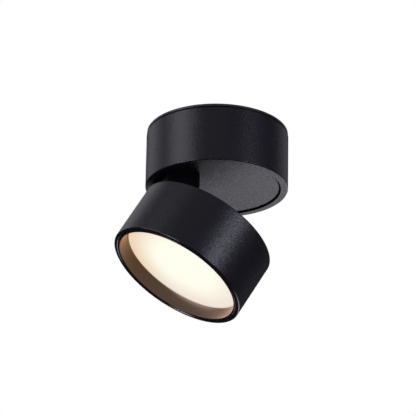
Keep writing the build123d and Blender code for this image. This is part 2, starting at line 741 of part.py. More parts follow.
spring_bottom = floor_top + sliding_clearance + friction_washer_thickness
nut_bottom = spring_bottom + disc_spring_height

with BuildPart() as friction_washer:
    with BuildSketch(Plane.XY.offset(floor_top + sliding_clearance)):
        Circle(friction_washer_radius)
        Circle(tube_radius + fixed_clearance, mode=Mode.SUBTRACT)
    extrude(amount=friction_washer_thickness)
friction_washer.part.label = "friction_washer"
export_step(friction_washer.part, "parts/friction_washer.step")

with BuildPart() as disc_spring:
    spring_bore = tube_radius + fixed_clearance
    with BuildSketch(Plane.XZ):
        with BuildLine():
            Polyline(
                (disc_spring_radius, spring_bottom),
                (disc_spring_radius, spring_bottom + disc_spring_thickness),
                (spring_bore, nut_bottom),
                (spring_bore, nut_bottom - disc_spring_thickness),
                close=True,
            )
        make_face()
    revolve(axis=Axis.Z)
disc_spring.part.label = "disc_spring"
export_step(disc_spring.part, "parts/disc_spring.step")

with BuildPart() as swivel_nut:
    with BuildSketch(Plane.XY.offset(nut_bottom)):
        RegularPolygon(nut_flats / 2, 6, major_radius=False)
        Circle(tube_radius + fixed_clearance, mode=Mode.SUBTRACT)
    extrude(amount=nut_height)
    # corners turned off at 30 degrees, as on any hexagon nut
    corner_reach = nut_flats / sqrt(3) + edge_break
    corner_drop = (corner_reach - nut_flats / 2) / sqrt(3)
    with BuildSketch(Plane.XZ):
        with BuildLine():
            Polyline(
                (0, nut_bottom),
                (nut_flats / 2, nut_bottom),
                (corner_reach, nut_bottom + corner_drop),
                (corner_reach, nut_bottom + nut_height - corner_drop),
                (nut_flats / 2, nut_bottom + nut_height),
                (0, nut_bottom + nut_height),
                close=True,
            )
        make_face()
    revolve(axis=Axis.Z, mode=Mode.INTERSECT)
swivel_nut.part.label = "swivel_nut"
export_step(swivel_nut.part, "parts/swivel_nut.step")

# ---- Hinge block: a tongue and knuckle between two slots for the head's lugs -------------
channel_start_x = -(wireway_reach - drop_hole_radius)
channel_end_x = -(block_outer - lead_channel_end_wall)
drilling_start = Vector(channel_end_x + pin_bore_radius, 0,
                        disc_bottom - lead_channel_depth + drilling_rise)
drilling_way = pin_point - drilling_start

with BuildPart() as hinge_block:
    with BuildSketch(Plane.XY.offset(disc_bottom)):
        with Locations((-block_inner, 0)):
            Rectangle(block_outer - block_inner, block_width, align=(Align.MAX, Align.CENTER))
        Circle(block_outer, mode=Mode.INTERSECT)
    extrude(amount=-block_height)
    inner_corners = hinge_block.edges().filter_by(Axis.Z).group_by(Axis.X)[-1]
    fillet(inner_corners, block_corner)
    under_edges = hinge_block.faces().sort_by(Axis.Z)[0].edges().sort_by(Axis.X)
    chamfer(under_edges[1:], block_edge)
    # slots that the lugs turn in
    with BuildSketch(Plane.XY.offset(disc_bottom)):
        slot_width = lug_outer + lug_slot_gap - tongue_half
        with Locations((-lug_slot_end, tongue_half)):
            Rectangle(block_outer, slot_width, align=(Align.MAX, Align.MIN))
        with Locations((-lug_slot_end, -tongue_half)):
            Rectangle(block_outer, slot_width, align=(Align.MAX, Align.MAX))
    extrude(amount=-block_height, mode=Mode.SUBTRACT)
    with BuildSketch(pin_plane):
        Circle(knuckle_radius)
    extrude(amount=tongue_half, both=True)
    with BuildSketch(pin_plane):
        Circle(pin_radius + running_clearance)
    extrude(amount=tongue_half, both=True, mode=Mode.SUBTRACT)
    # channel for the leads, and the drilling from it to the hollow pin
    with BuildSketch(Plane.XY.offset(disc_bottom)):
        with Locations((channel_start_x, 0)):
            Rectangle(channel_start_x - channel_end_x, channel_width,
                      align=(Align.MAX, Align.CENTER))
    extrude(amount=-lead_channel_depth, mode=Mode.SUBTRACT)
    with BuildSketch(Plane(origin=drilling_start, z_dir=drilling_way)):
        Circle(pin_bore_radius)
    extrude(amount=drilling_way.length - pin_radius / 2, mode=Mode.SUBTRACT)
    # screw holes
    with BuildSketch(Plane.XY.offset(disc_bottom)):
        with Locations(block_screw_places):
            Circle(block_screw_radius + fixed_clearance)
    extrude(amount=-block_screw_grip, mode=Mode.SUBTRACT)
hinge_block.part.label = "hinge_block"
export_step(hinge_block.part, "parts/hinge_block.step")

with BuildPart() as block_screws:
    screw_top = disc_top - block_screw_sink
    with Locations([(x, y, screw_top) for x, y in block_screw_places]):
        Cone(block_screw_radius, block_screw_head, head_cone,
             align=(Align.CENTER, Align.CENTER, Align.MAX))
        Cylinder(block_screw_radius, screw_top - disc_bottom + block_screw_grip,
                 align=(Align.CENTER, Align.CENTER, Align.MAX))
    with BuildSketch(Plane.XY.offset(screw_top)):
        with Locations(block_screw_places):
            Rectangle(cross_slot_share * block_screw_head, screw_slot_width)
            Rectangle(screw_slot_width, cross_slot_share * block_screw_head)
    extrude(amount=-screw_slot_depth, mode=Mode.SUBTRACT)
block_screws.part.label = "block_screws"
export_step(block_screws.part, "parts/block_screws.step")

with BuildPart() as swivel_leads:
    groove_z = flange_floor - wireway_height / 2
    channel_z = disc_bottom - lead_channel_depth / 2
    for side in (1, -1):
        lead_y = side * lead_pitch / 2
        route_points = [
            (0, lead_y, tube_top - lead_radius),
            (0, lead_y, groove_z),
            (-wireway_reach, lead_y, groove_z),
            (-wireway_reach, lead_y, channel_z),
            (channel_end_x + lead_radius, lead_y, channel_z),
        ]
        add(lead(route_points, swivel_lead_bend, lead_radius))
swivel_leads.part.label = "swivel_leads"
export_step(swivel_leads.part, "parts/swivel_leads.step")


# ==== Lamp head: tilts on the pin ========================================================

with BuildPart() as head_housing:
    with BuildSketch(head_section):
        with BuildLine():
            Polyline(
                (0, 0),
                (body_radius, 0),
                (body_radius, head_height),
                (head_inner, head_height),
                (head_inner, head_back),
                (0, head_back),
                close=True,
            )
        make_face()
    revolve(axis=head_axis)
    outer_rims = [edge for edge in head_housing.edges().filter_by(GeomType.CIRCLE)
                  if abs(edge.radius - body_radius) < edge_break]
    fillet(outer_rims, rim_fillet)
    front_inner = [edge for edge in head_housing.edges().filter_by(GeomType.CIRCLE)
                   if abs(edge.radius - head_inner) < edge_break
                   and (edge.arc_center - head_centre).dot(beam) > head_height / 2]
    chamfer(front_inner, edge_break)
    # thick pad under the hinge, then the posts that carry the heat sink
    boss_length = 2 * (pocket_radius + pin_boss_margin)
    with BuildSketch(head_plane):
        with Locations((-pivot_reach, 0)):
            Rectangle(boss_length, 2 * (lug_outer + pin_boss_margin))
        Circle(body_radius - pin_boss_setback, mode=Mode.INTERSECT)
    extrude(amount=pin_boss_depth)
    with BuildSketch(head_plane.offset(head_back)):
        with PolarLocations(post_circle_radius, post_count):
            Circle(post_radius)
    extrude(amount=sink_top - head_back)
    # lugs either side of the knuckle
    with BuildSketch(head_pin_plane):
        Circle(knuckle_radius)
        Rectangle(2 * knuckle_radius, head_back, align=(Align.CENTER, Align.MIN))
    extrude(amount=lug_outer, both=True)
    with BuildSketch(head_pin_plane):
        Circle(pocket_radius)
        Rectangle(2 * pocket_radius, 2 * knuckle_radius, align=(Align.CENTER, Align.MAX))
    extrude(amount=lug_inner, both=True, mode=Mode.SUBTRACT)
    with BuildSketch(head_pin_plane):
        Circle(pin_radius + fixed_clearance)
    extrude(amount=lug_outer, both=True, mode=Mode.SUBTRACT)
    # lead hole from the pin's bore into the head
    lead_hole_y = (lug_inner + lug_outer) / 2
    with BuildSketch(head_plane):
        with Locations((-pivot_reach, -lead_hole_y)):
            Circle(pin_bore_radius)
    extrude(amount=pin_boss_depth, mode=Mode.SUBTRACT)
    # screw holes in the posts
    with BuildSketch(head_plane.offset(sink_top)):
        with PolarLocations(post_circle_radius, post_count):
            Circle(sink_screw_radius + fixed_clearance)
    extrude(amount=-sink_screw_grip, mode=Mode.SUBTRACT)
    # groove that the trim ring's bead snaps into
    bead_middle = diffuser_front + baffle_depth / 3
    with BuildSketch(head_section):
        with Locations((head_inner, bead_middle)):
            Rectangle(2 * snap_bead - assembly_gap, snap_bead_height + assembly_gap)
    revolve(axis=head_axis, mode=Mode.SUBTRACT)
head_housing.part.label = "head_housing"
export_step(head_housing.part, "parts/head_housing.step")

with BuildPart() as hinge_pin:
    with BuildSketch(head_pin_plane):
        Circle(pin_radius)
        Circle(pin_bore_radius, mode=Mode.SUBTRACT)
    extrude(amount=lug_outer, both=True)
    # window that lets the leads in from the knuckle at any tilt
    with BuildSketch(head_pin_plane):
        Rectangle(2 * pin_radius, pin_radius, align=(Align.CENTER, Align.MAX))
    extrude(amount=pin_radius, both=True, mode=Mode.SUBTRACT)
    # hole that lets them out into the head
    with BuildSketch(head_plane):
        with Locations((-pivot_reach, -lead_hole_y)):
            Circle(pin_bore_radius)
    extrude(amount=pin_radius, mode=Mode.SUBTRACT)
hinge_pin.part.label = "hinge_pin"
export_step(hinge_pin.part, "parts/hinge_pin.step")

with BuildPart() as hinge_washers:
    for side in (1, -1):
        washer_start = tongue_half + sliding_clearance
        with BuildSketch(Plane(origin=pin_point + Vector(0, side * washer_start, 0),
                               x_dir=(1, 0, 0), z_dir=(0, side, 0))):
            Circle(washer_radius)
            Circle(pin_radius + fixed_clearance, mode=Mode.SUBTRACT)
        extrude(amount=washer_thickness)
hinge_washers.part.label = "hinge_washers"
export_step(hinge_washers.part, "parts/hinge_washers.step")

fin_plane = head_plane.offset(head_back + sink_back_gap)

with BuildPart() as heat_sink:
    with BuildSketch(head_plane.offset(sink_top)):
        Circle(head_inner - assembly_gap)
    extrude(amount=sink_base)
    with BuildSketch(fin_plane):
        Circle(sink_hub_radius)
        with PolarLocations((fin_inner_radius + fin_outer_radius) / 2, fin_count,
                            start_angle=180 / fin_count):
            Rectangle(fin_outer_radius - fin_inner_radius, fin_thickness)
    extrude(amount=sink_fin_height)
    with BuildSketch(head_plane.offset(sink_front)):
        with PolarLocations(post_circle_radius, post_count):
            Circle(sink_screw_radius + 2 * running_clearance)
    extrude(amount=-sink_base, mode=Mode.SUBTRACT)
    with BuildSketch(head_plane.offset(sink_front)):
        with PolarLocations(board_screw_circle_radius, post_count, start_angle=board_screw_angle):
            Circle(board_screw_radius + fixed_clearance)
        with Locations((-connector_reach, 0)):
            Circle(2 * pin_bore_radius)
    extrude(amount=-sink_base, mode=Mode.SUBTRACT)
heat_sink.part.label = "heat_sink"
export_step(heat_sink.part, "parts/heat_sink.step")

with BuildPart() as heat_sink_screws:
    with BuildSketch(head_plane.offset(sink_front)):
        with PolarLocations(post_circle_radius, post_count):
            Circle(sink_screw_head)
    extrude(amount=sink_screw_head_height)
    with BuildSketch(head_plane.offset(sink_front)):
        with PolarLocations(post_circle_radius, post_count):
            Circle(sink_screw_radius)
    extrude(amount=-(sink_base + sink_screw_grip))
    with BuildSketch(head_plane.offset(sink_front + sink_screw_head_height)):
        with PolarLocations(post_circle_radius, post_count):
            Rectangle(cross_slot_share * sink_screw_head, screw_slot_width)
            Rectangle(screw_slot_width, cross_slot_share * sink_screw_head)
    extrude(amount=-screw_slot_depth, mode=Mode.SUBTRACT)
heat_sink_screws.part.label = "heat_sink_screws"
export_step(heat_sink_screws.part, "parts/heat_sink_screws.step")

with BuildPart() as thermal_pad:
    with BuildSketch(head_plane.offset(sink_front)):
        Circle(pad_radius)
        with PolarLocations(board_screw_circle_radius, post_count, start_angle=board_screw_angle):
            Circle(board_screw_radius + assembly_gap, mode=Mode.SUBTRACT)
        with Locations((-connector_reach, 0)):
            Circle(2 * pin_bore_radius, mode=Mode.SUBTRACT)
    extrude(amount=pad_thickness)
thermal_pad.part.label = "thermal_pad"
export_step(thermal_pad.part, "parts/thermal_pad.step")

with BuildPart() as led_board:
    with BuildSketch(head_plane.offset(pad_front)):
        Circle(board_radius)
        with PolarLocations(board_screw_circle_radius, post_count, start_angle=board_screw_angle):
            Circle(board_screw_radius + assembly_gap, mode=Mode.SUBTRACT)
        with Locations((-connector_reach, 0)):
            Circle(lead_pitch, mode=Mode.SUBTRACT)
    extrude(amount=board_thickness)
led_board.part.label = "led_board"
export_step(led_board.part, "parts/led_board.step")

with BuildPart() as led_packages:
    with BuildSketch(head_plane.offset(board_front)):
        with PolarLocations(led_inner_ring_radius, led_inner_count):
            Rectangle(led_length, led_width)
        with PolarLocations(led_outer_ring_radius, led_outer_count):
            Rectangle(led_length, led_width)
    extrude(amount=led_height)
led_packages.part.label = "led_packages"
export_step(led_packages.part, "parts/led_packages.step")

with BuildPart() as board_screws:
    with BuildSketch(head_plane.offset(board_front)):
        with PolarLocations(board_screw_circle_radius, post_count, start_angle=board_screw_angle):
            Circle(board_screw_head)
    extrude(amount=board_screw_head_height)
    with BuildSketch(head_plane.offset(board_front)):
        with PolarLocations(board_screw_circle_radius, post_count, start_angle=board_screw_angle):
            Circle(board_screw_radius)
    extrude(amount=-(board_thickness + pad_thickness + board_screw_grip))
    with BuildSketch(head_plane.offset(board_front + board_screw_head_height)):
        with PolarLocations(board_screw_circle_radius, post_count, start_angle=board_screw_angle):
            Rectangle(cross_slot_share * board_screw_head, screw_slot_width)
    extrude(amount=-screw_slot_depth, mode=Mode.SUBTRACT)
board_screws.part.label = "board_screws"
export_step(board_screws.part, "parts/board_screws.step")

with BuildPart() as board_connector:
    with BuildSketch(head_plane.offset(board_front)):
        with Locations((-connector_reach + lead_pitch + connector_width / 2, 0)):
            Rectangle(connector_width, connector_length)
    extrude(amount=connector_height)
    with BuildSketch(Plane(origin=head_centre - away * (connector_reach - lead_pitch),
                           x_dir=(0, 1, 0), z_dir=away)):
        with GridLocations(lead_pitch, 0, 2, 1):
            with Locations((0, -(board_front + connector_height / 2))):
                Circle(lead_radius + fixed_clearance)
    extrude(amount=connector_width / 2, mode=Mode.SUBTRACT)
board_connector.part.label = "board_connector"
export_step(board_connector.part, "parts/board_connector.step")

with BuildPart() as reflector:
    cup_rim = head_inner - assembly_gap
    cup_throat = diffuser_radius - reflector_wall
    with BuildSketch(head_section):
        with BuildLine():
            Polyline(
                (reflector_foot_radius - reflector_wall, board_front),
                (reflector_foot_radius, board_front),
                (cup_throat, diffuser_back - 2 * reflector_wall),
                (cup_rim, diffuser_back - 2 * reflector_wall),
                (cup_rim, diffuser_back),
                (cup_throat - reflector_wall, diffuser_back),
                (cup_throat - reflector_wall, diffuser_back - 2 * reflector_wall),
                close=True,
            )
        make_face()
    revolve(axis=head_axis)
reflector.part.label = "reflector"
export_step(reflector.part, "parts/reflector.step")

with BuildPart() as diffuser:
    with BuildSketch(head_plane.offset(diffuser_back)):
        Circle(diffuser_radius)
    extrude(amount=diffuser_thickness)
diffuser.part.label = "diffuser"
export_step(diffuser.part, "parts/diffuser.step")

with BuildPart() as trim_ring:
    skirt_outer = trim_outer - snap_bead
    bead_top = bead_middle + snap_bead_height / 2
    bead_foot = bead_middle - snap_bead_height / 2
    lip_foot = head_height - trim_groove_depth - trim_lip_height
    with BuildSketch(head_section):
        with BuildLine():
            Polyline(
                (baffle_inner_radius, diffuser_front),
                (skirt_outer, diffuser_front),
                (skirt_outer, bead_foot),
                (head_inner, bead_foot + snap_bead / 2),
                (head_inner, bead_top - snap_bead / 2),
                (skirt_outer, bead_top),
                (skirt_outer, lip_foot),
                (trim_outer, lip_foot),
                (trim_outer, head_height - trim_groove_depth),
                (trim_face_radius, head_height - trim_groove_depth),
                (trim_face_radius, head_height),
                (baffle_inner_radius, head_height),
                close=True,
            )
        make_face()
    revolve(axis=head_axis)
    front_rims = [edge for edge in trim_ring.edges().filter_by(GeomType.CIRCLE)
                  if (edge.arc_center - head_centre).dot(beam) > head_height - edge_break]
    fillet(front_rims, edge_break)
trim_ring.part.label = "trim_ring"
export_step(trim_ring.part, "parts/trim_ring.step")


# The leads come in through the pin's side hole and lie over the boss on their way to the board.
with BuildPart() as head_leads:
    entry_spacing = 2 * pin_bore_radius - 2 * lead_radius - 2 * running_clearance
    plug_depth = board_front + connector_height / 2
    crossing_depth = pin_boss_depth + 2 * lead_radius
    for side in (1, -1):
        lead_y = side * lead_pitch / 2
        entry_reach = pivot_reach + side * entry_spacing / 2
        places_in_head = [
            (-connector_reach + lead_pitch + lead_radius, lead_y, plug_depth),
            (-connector_reach, lead_y, plug_depth),
            (-connector_reach, lead_y, crossing_depth),
            (-entry_reach, lead_y, crossing_depth),
            (-entry_reach, -lead_hole_y, crossing_depth),
            (-entry_reach, -lead_hole_y, pin_radius),
        ]
        route_points = [head_plane.from_local_coords(Vector(place)) for place in places_in_head]
        add(lead(route_points, head_lead_bend, lead_radius))
head_leads.part.label = "head_leads"
export_step(head_leads.part, "parts/head_leads.step")
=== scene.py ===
import math
import bpy
from mathutils import Matrix, Vector

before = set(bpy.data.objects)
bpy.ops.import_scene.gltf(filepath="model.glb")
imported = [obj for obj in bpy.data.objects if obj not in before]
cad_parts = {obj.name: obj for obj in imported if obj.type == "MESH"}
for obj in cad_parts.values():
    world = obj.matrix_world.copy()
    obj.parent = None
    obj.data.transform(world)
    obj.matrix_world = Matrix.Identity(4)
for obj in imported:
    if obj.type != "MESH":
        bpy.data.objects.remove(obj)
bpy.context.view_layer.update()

# A surface mounted ceiling spotlight, lit, in soft studio light. Metres, +Z up, the ceiling at z = 0.
# The canopy, the turntable and the lamp head are the solids of the frame; this file dresses them.

# ---- Sizes, in metres --------------------------------------------------------------------
MM = 0.001
PIVOT_REACH = 43.8 * MM          # canopy axis to the tilt pin
PIN_DROP = 51.9 * MM             # ceiling face to the tilt pin
REST_TILT = math.radians(30)     # the head's tilt from straight down
HEAD_HEIGHT = 43.5 * MM          # head back to its front rim
DIFFUSER_DEPTH = 33.4 * MM       # head back to the diffuser's front face
DIFFUSER_RADIUS = 45.4 * MM      # what shows of it

# ---- Places worked out from the sizes ----------------------------------------------------
AWAY = Vector((math.cos(REST_TILT), 0, -math.sin(REST_TILT)))     # across the head, from the hinge
BEAM = Vector((-math.sin(REST_TILT), 0, -math.cos(REST_TILT)))    # the way the lamp shines
HEAD_CENTRE = Vector((-PIVOT_REACH, 0, -PIN_DROP)) + AWAY * PIVOT_REACH
GLOW_CENTRE = HEAD_CENTRE + BEAM * DIFFUSER_DEPTH

# ---- Camera: the photograph's view -------------------------------------------------------
CAMERA_AZIMUTH = math.radians(-102.203)    # of the camera seen from its target, from +X
CAMERA_ELEVATION = math.radians(-23.703)
CAMERA_ROLL = math.radians(0.988)
CAMERA_DISTANCE = 2.0648
CAMERA_TARGET = Vector((-5.716, 1.236, -57.147)) * MM
CAMERA_LENS = 255.8
CAMERA_SENSOR = 36.0
CAMERA_CLIP = (0.1, 50)                    # nearest and furthest that it sees

# ---- Black powder coat -------------------------------------------------------------------
COAT_BLACK = (0.0082, 0.0080, 0.0135)
COAT_ROUGHNESS = 0.38
COAT_UNEVEN = 0.16               # how far the roughness wanders
COAT_PATCH = 9 * MM              # size of its paler patches
COAT_PALER = 1.25                # the palest patch against the darkest
COAT_TEXTURE = 0.6 * MM          # size of the fine texture
COAT_PEEL = 1.1 * MM             # size of the coarser cells under it
PEEL_SHARE = 0.5                 # their height against the texture's
COAT_RELIEF = 0.08 * MM          # height of the texture
COAT_NOISE = (3.0, 0.65)         # detail and roughness of the noise that makes it
FACET_SIZE = 0.55 * MM           # of the small facets that catch the light
FACET_LEAN = 0.05                # in radians, about 3 degrees
RIM_DEPTH = 1.0 * MM             # the head's front rim, turned smooth
RIM_ROUGHNESS = 0.20
# The hinge's black is partly its own dull plastic and partly painted shade: darker than the coat, for
# the deep shade between the canopy and the head
HINGE_BLACK_AND_SHADE = (0.0025, 0.0025, 0.003)
HINGE_SPECULAR = 0.12            # the hinge's dull plastic gives back next to nothing

# ---- Paint, plastic and metal ------------------------------------------------------------
PAINT_PATCH = 7 * MM             # size of the paler patches
PAINT_PALER = 1.15
METAL_PALER = 1.1
PAINT_UNEVEN = 0.12
GRAIN_NOISE = (3.0, 0.6)         # detail and roughness of the noise that makes a grain
# Each finish: colour, roughness, and the size and depth of its grain in mm
TRIM = ((0.0125, 0.0105, 0.009), 0.26, 0.5, 0.012)
PAINTS = {
    "plate": ((0.03, 0.03, 0.033), 0.4, 0.6, 0.01),
    "reflector": ((0.9, 0.9, 0.88), 0.25, 1, 0.004),
    "pad": ((0.55, 0.58, 0.62), 0.7, 0.4, 0.03),
    "led_board": ((0.85, 0.85, 0.83), 0.35, 1, 0.006),
    "led": ((0.9, 0.78, 0.25), 0.3, 0.3, 0.01),
    "circuit_board": ((0.05, 0.25, 0.12), 0.3, 0.8, 0.01),
    "component": ((0.12, 0.12, 0.14), 0.5, 0.5, 0.02),
    "driver_case": ((0.85, 0.85, 0.83), 0.45, 0.5, 0.02),
    "terminal": ((0.82, 0.80, 0.74), 0.4, 0.6, 0.01),
    "slip_plastic": ((0.80, 0.80, 0.78), 0.35, 0.8, 0.006),
    "rubber": ((0.04, 0.04, 0.04), 0.75, 0.5, 0.03),
}
METALS = {
    "heat_sink": ((0.60, 0.60, 0.62), 0.45, 0.5, 0.02),
    "screw": ((0.55, 0.55, 0.56), 0.3, 0.4, 0.008),
}

# ---- Leads -------------------------------------------------------------------------------
BROWN, BLUE = (0.12, 0.035, 0.012), (0.02, 0.09, 0.35)
RED, BLACK = (0.45, 0.02, 0.015), (0.015, 0.015, 0.015)
GREEN, YELLOW = (0.03, 0.24, 0.04), (0.75, 0.55, 0.03)
STRIPE_PITCH = 6 * MM            # of the earth lead's second colour
STRIPE_EDGE = (0.55, 0.65)       # where in the band pattern the stripe starts and is full
WEAR_SIZE = 4 * MM               # of the duller patches
WEAR_DULL = 0.8
LEAD_SKIN = 0.4 * MM             # size of the plastic's grain
LEAD_RELIEF = 0.01 * MM
LEAD_ROUGHNESS = 0.05            # least roughness, to which the grain adds
# Each run of leads: the axis that tells its two colours apart, above and below 0, and a stripe
LEADS = {
    "mains_leads": ("X", BROWN, BLUE),
    "earth_lead": ("X", GREEN, YELLOW, STRIPE_PITCH),
    "output_leads": ("X", RED, BLACK),
    "swivel_leads": ("Y", RED, BLACK),
    "head_leads": ("Y", RED, BLACK),
}

# ---- The lit diffuser --------------------------------------------------------------------
SEAM_WIDTH = 1.6 * MM            # the diffuser's unlit edge, under the trim ring
PATCH_TURN = math.radians(-66)   # from AWAY round to where the diffuser throws its palest light
PATCH_SIDE = AWAY * math.cos(PATCH_TURN) + BEAM.cross(AWAY) * math.sin(PATCH_TURN)
ACRYLIC = (0.03, 0.03, 0.028)    # its own shade, under the light it gives
ACRYLIC_ROUGHNESS = 0.35
# What shows of its light: the middle, the edge by the hinge and away from it, and the seam
GLOW_MIDDLE = (1.0, 0.985, 0.85)
GLOW_NEAR, GLOW_FAR = (0.82, 0.62, 0.42), (0.86, 0.76, 0.66)
SEAM_COLOUR = (0.17, 0.08, 0.03)
SEAM_FAR = 0.15                  # how much of the seam's dark is left away from the hinge
# What it throws on the ring around it: by the hinge, away from it, and from its palest patch
SPILL_NEAR, SPILL_FAR = (1.5, 0.76, 0.33), (1.8, 1.15, 0.82)
SPILL_PATCH = (5.2, 4.0, 3.4)
# Where each change starts and is complete, in diffuser radii from its centre
EDGE_SPAN = (0.4, 1.05)
FAR_SPAN = (-0.9, 0.2)           # along AWAY, as the next is
SEAM_SPAN = (-0.5, 0.6)
PATCH_SPAN = (0.85, 0.98)        # along PATCH_SIDE

# ---- Stage -------------------------------------------------------------------------------
FLOOR_DROP = 1.9                 # floor below the ceiling face
FLOOR_HALF = 20.0
FLOOR_SHADES = (0.86, 0.90)      # darkest and palest
FLOOR_PATCH = 0.4                # size of the paler patches
FLOOR_ROUGHNESS = 0.8
FLOOR_LIFT = 0.5                 # glow that the camera sees in the floor, over what lights it
AMBIENT = 0.40                   # what lights the object from all round
DARK_SIDE = 0.02                 # what gloss sees where no panel stands
STUDIO_TINT = (1.0, 0.98, 1.09)  # cool daylight
STRIP_TINT = (0.88, 0.88, 1.08)  # bluer, of the narrow lamp
# White panels of the studio as gloss sees them: azimuth, elevation, inner and outer
# half-angle in degrees, and brightness
GLOSS_PANELS = (
    (52, -36, 12, 32, 2.65),
    (135, 28, 6, 24, 0.62),
    (112, 45, 8, 28, 0.52),
    (36, 28, 6, 24, 0.32),
    (-100, 28, 6, 24, 0.25),
    (-150, 55, 10, 30, 0.23),
    (-50, 6, 5, 18, 0.8),
    (-161, -30, 6, 15, 10.0),
)
# Lamps: azimuth and elevation in degrees, distance, width, height, brightness and tint
SOFTBOXES = {
    "softbox_left": (-162, 25, 1.1, 0.66, 0.55, 2.3, STUDIO_TINT),
    "softbox_right": (-52, -2, 1.1, 0.15, 0.38, 14.2, STRIP_TINT),
}


def direction(azimuth, elevation):
    """Unit vector towards an azimuth from +X and an elevation, in radians."""
    return Vector((
        math.cos(elevation) * math.cos(azimuth),
        math.cos(elevation) * math.sin(azimuth),
        math.sin(elevation),
    ))


def make_camera():
    back = direction(CAMERA_AZIMUTH, CAMERA_ELEVATION)
    level = Vector((0, 0, 1)).cross(back).normalized()
    upright = back.cross(level)
    right = level * math.cos(CAMERA_ROLL) + upright * math.sin(CAMERA_ROLL)
    up = back.cross(right)
    data = bpy.data.cameras.new("camera")
    data.lens = CAMERA_LENS
    data.sensor_width = CAMERA_SENSOR
    data.clip_start, data.clip_end = CAMERA_CLIP
    camera = bpy.data.objects.new("camera", data)
    turn = Matrix((right, up, back)).transposed().to_4x4()
    camera.matrix_world = Matrix.Translation(CAMERA_TARGET + back * CAMERA_DISTANCE) @ turn
    bpy.context.scene.collection.objects.link(camera)
    bpy.context.scene.camera = camera


# ---- Node helper -------------------------------------------------------------------------
NOISE_FEATURE = 0.6              # width of a feature of Blender's noise, in the noise's own units


class Graph:
    """A node tree with short calls. Inputs are given by socket name, as a value or a link."""

    def __init__(self, tree):
        self.tree = tree
        self.tree.nodes.clear()

    def node(self, kind, settings=None, **inputs):
        made = self.tree.nodes.new(kind)
        for name, value in (settings or {}).items():
            setattr(made, name, value)
        for name, value in inputs.items():
            self.put(made.inputs[name.replace("_", " ")], value)
        return made

    def put(self, socket, value):
        if isinstance(value, bpy.types.NodeSocket):
            self.tree.links.new(value, socket)
        elif isinstance(value, bpy.types.Node):
            self.tree.links.new(value.outputs[0], socket)
        else:
            socket.default_value = value

    def math(self, operation, *values):
        made = self.node("ShaderNodeMath", {"operation": operation})
        for socket, value in zip(made.inputs, values):
            self.put(socket, value)
        return made.outputs[0]

    def vector(self, operation, *values):
        made = self.node("ShaderNodeVectorMath", {"operation": operation})
        for socket, value in zip(made.inputs, values):
            self.put(socket, value)
        number = operation in ("DOT_PRODUCT", "LENGTH")
        return made.outputs["Value" if number else "Vector"]

    def mix(self, share, first, second, blend="MIX"):
        """Colour between first and second, or past second for a share over 1."""
        made = self.node("ShaderNodeMix", {"data_type": "RGBA", "clamp_factor": False,
                                           "blend_type": blend})
        self.put(made.inputs["Factor"], share)
        self.put(made.inputs["A"], first)
        self.put(made.inputs["B"], second)
        return made.outputs["Result"]

    def span(self, value, low, high, to_low=0.0, to_high=1.0):
        """value, between low and high, brought smoothly to between to_low and to_high."""
        made = self.node("ShaderNodeMapRange", {"interpolation_type": "SMOOTHSTEP"})
        for name, number in (("Value", value), ("From Min", low), ("From Max", high),
                             ("To Min", to_low), ("To Max", to_high)):
            self.put(made.inputs[name], number)
        return made.outputs["Result"]

    def wander(self, pattern, level, spread):
        """A number about level that wanders over spread as the pattern goes from 0 to 1."""
        return self.math("MULTIPLY_ADD", pattern, spread, level - spread / 2)

    def place(self):
        """Position on the part in its own coordinates, which turn with its body."""
        return self.node("ShaderNodeTexCoord").outputs["Object"]

    def flat(self):
        """The surface's own normal."""
        return self.node("ShaderNodeNewGeometry").outputs["Normal"]

    def front_rim(self):
        """1 on the front rim of the head and 0 behind it."""
        depth = self.vector("DOT_PRODUCT", self.vector("SUBTRACT", self.place(), HEAD_CENTRE), BEAM)
        return self.span(depth, HEAD_HEIGHT - RIM_DEPTH, HEAD_HEIGHT - RIM_DEPTH / 2)

    def noise(self, size, detail=2.0, roughness=0.5):
        """Noise whose features are about size across, in metres."""
        return self.node("ShaderNodeTexNoise", Vector=self.place(), Scale=NOISE_FEATURE / size,
                         Detail=detail, Roughness=roughness).outputs["Fac"]

    def cells(self, size):
        """A pattern of cells about size across, each with its own colour and a hollow."""
        return self.node("ShaderNodeTexVoronoi", Vector=self.place(), Scale=1 / size)

    def facets(self, size, lean):
        """The surface's normal, leaning another way by up to about lean in each cell."""
        way = self.vector("SUBTRACT", self.cells(size).outputs["Color"], (0.5, 0.5, 0.5))
        way = self.vector("MULTIPLY", way, (2 * lean, 2 * lean, 2 * lean))
        return self.vector("NORMALIZE", self.vector("ADD", self.flat(), way))

    def bump(self, height, depth, **inputs):
        return self.node("ShaderNodeBump", Height=height, Distance=depth,
                         **inputs).outputs["Normal"]


def rgba(red, green, blue):
    return (red, green, blue, 1.0)


def grey(level):
    return rgba(level, level, level)


def material(name):
    made = bpy.data.materials.new("finish_" + name)
    made.use_nodes = True
    graph = Graph(made.node_tree)
    shader = graph.node("ShaderNodeBsdfPrincipled")
    out = graph.node("ShaderNodeOutputMaterial")
    graph.put(out.inputs["Surface"], shader.outputs["BSDF"])
    return made, graph, shader


# ---- Finishes ----------------------------------------------------------------------------

def patchy(graph, colour, paler, size, detail):
    """A colour that drifts to paler times as light, in patches about size across."""
    palest = rgba(*(min(1.0, paler * part) for part in colour))
    return graph.mix(graph.noise(size, detail), rgba(*colour), palest)


